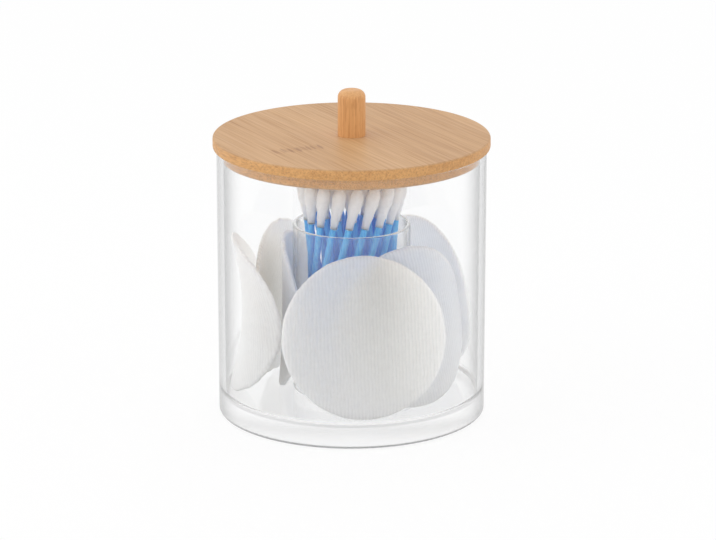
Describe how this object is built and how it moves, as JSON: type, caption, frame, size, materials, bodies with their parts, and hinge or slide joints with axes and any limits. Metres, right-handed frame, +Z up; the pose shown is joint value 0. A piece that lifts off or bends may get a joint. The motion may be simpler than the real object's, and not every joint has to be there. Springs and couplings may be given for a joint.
{
  "type": "cotton swab holder",
  "caption": "Round clear canister with a thick solid base and a lift-off wooden lid with a dowel knob; a clear inner cup holds cotton swabs, with cotton pads standing around it.",
  "frame": {"origin": "centre of the canister's foot, on the surface that it stands on", "axes": "+Z up along the canister's axis, -Y towards the front of the picture, +X to its right"},
  "size_m": [0.1, 0.1, 0.1193],
  "materials": {
    "clear_plastic": "gloss",
    "lid_wood": "satin",
    "knob_wood": "satin",
    "pad_cotton": "matte",
    "stem_plastic": "satin",
    "tip_cotton": "matte"
  },
  "bodies": {
    "canister": {"canister": "clear_plastic", "swab_cup": "clear_plastic", "cotton_pad_1": "pad_cotton", "cotton_pad_2": "pad_cotton", "cotton_pad_3": "pad_cotton", "cotton_pad_4": "pad_cotton", "cotton_pad_5": "pad_cotton", "cotton_pad_6": "pad_cotton", "swab_stem_1": "stem_plastic", "swab_stem_2": "stem_plastic", "swab_stem_3": "stem_plastic", "swab_stem_4": "stem_plastic", "swab_stem_5": "stem_plastic", "swab_stem_6": "stem_plastic", "swab_stem_7": "stem_plastic", "swab_stem_8": "stem_plastic", "swab_stem_9": "stem_plastic", "swab_stem_10": "stem_plastic", "swab_stem_11": "stem_plastic", "swab_stem_12": "stem_plastic", "swab_stem_13": "stem_plastic", "swab_stem_14": "stem_plastic", "swab_stem_15": "stem_plastic", "swab_stem_16": "stem_plastic", "swab_stem_17": "stem_plastic", "swab_stem_18": "stem_plastic", "swab_stem_19": "stem_plastic", "swab_stem_20": "stem_plastic", "swab_stem_21": "stem_plastic", "swab_stem_22": "stem_plastic", "swab_stem_23": "stem_plastic", "swab_stem_24": "stem_plastic", "inner_swab_stems": "stem_plastic", "swab_tips_1": "tip_cotton", "swab_tips_2": "tip_cotton", "swab_tips_3": "tip_cotton", "swab_tips_4": "tip_cotton", "swab_tips_5": "tip_cotton", "swab_tips_6": "tip_cotton", "swab_tips_7": "tip_cotton", "swab_tips_8": "tip_cotton", "swab_tips_9": "tip_cotton", "swab_tips_10": "tip_cotton", "swab_tips_11": "tip_cotton", "swab_tips_12": "tip_cotton", "swab_tips_13": "tip_cotton", "swab_tips_14": "tip_cotton", "swab_tips_15": "tip_cotton", "swab_tips_16": "tip_cotton", "swab_tips_17": "tip_cotton", "swab_tips_18": "tip_cotton", "swab_tips_19": "tip_cotton", "swab_tips_20": "tip_cotton", "swab_tips_21": "tip_cotton", "swab_tips_22": "tip_cotton", "swab_tips_23": "tip_cotton", "swab_tips_24": "tip_cotton", "inner_swab_tips": "tip_cotton"},
    "lid": {"lid": "lid_wood", "knob": "knob_wood"}
  },
  "joints": [
    {"name": "lid_lift", "type": "slide", "parent": "canister", "child": "lid", "axis": [0, 0, 1], "range_m": [0, 0.09]}
  ]
}
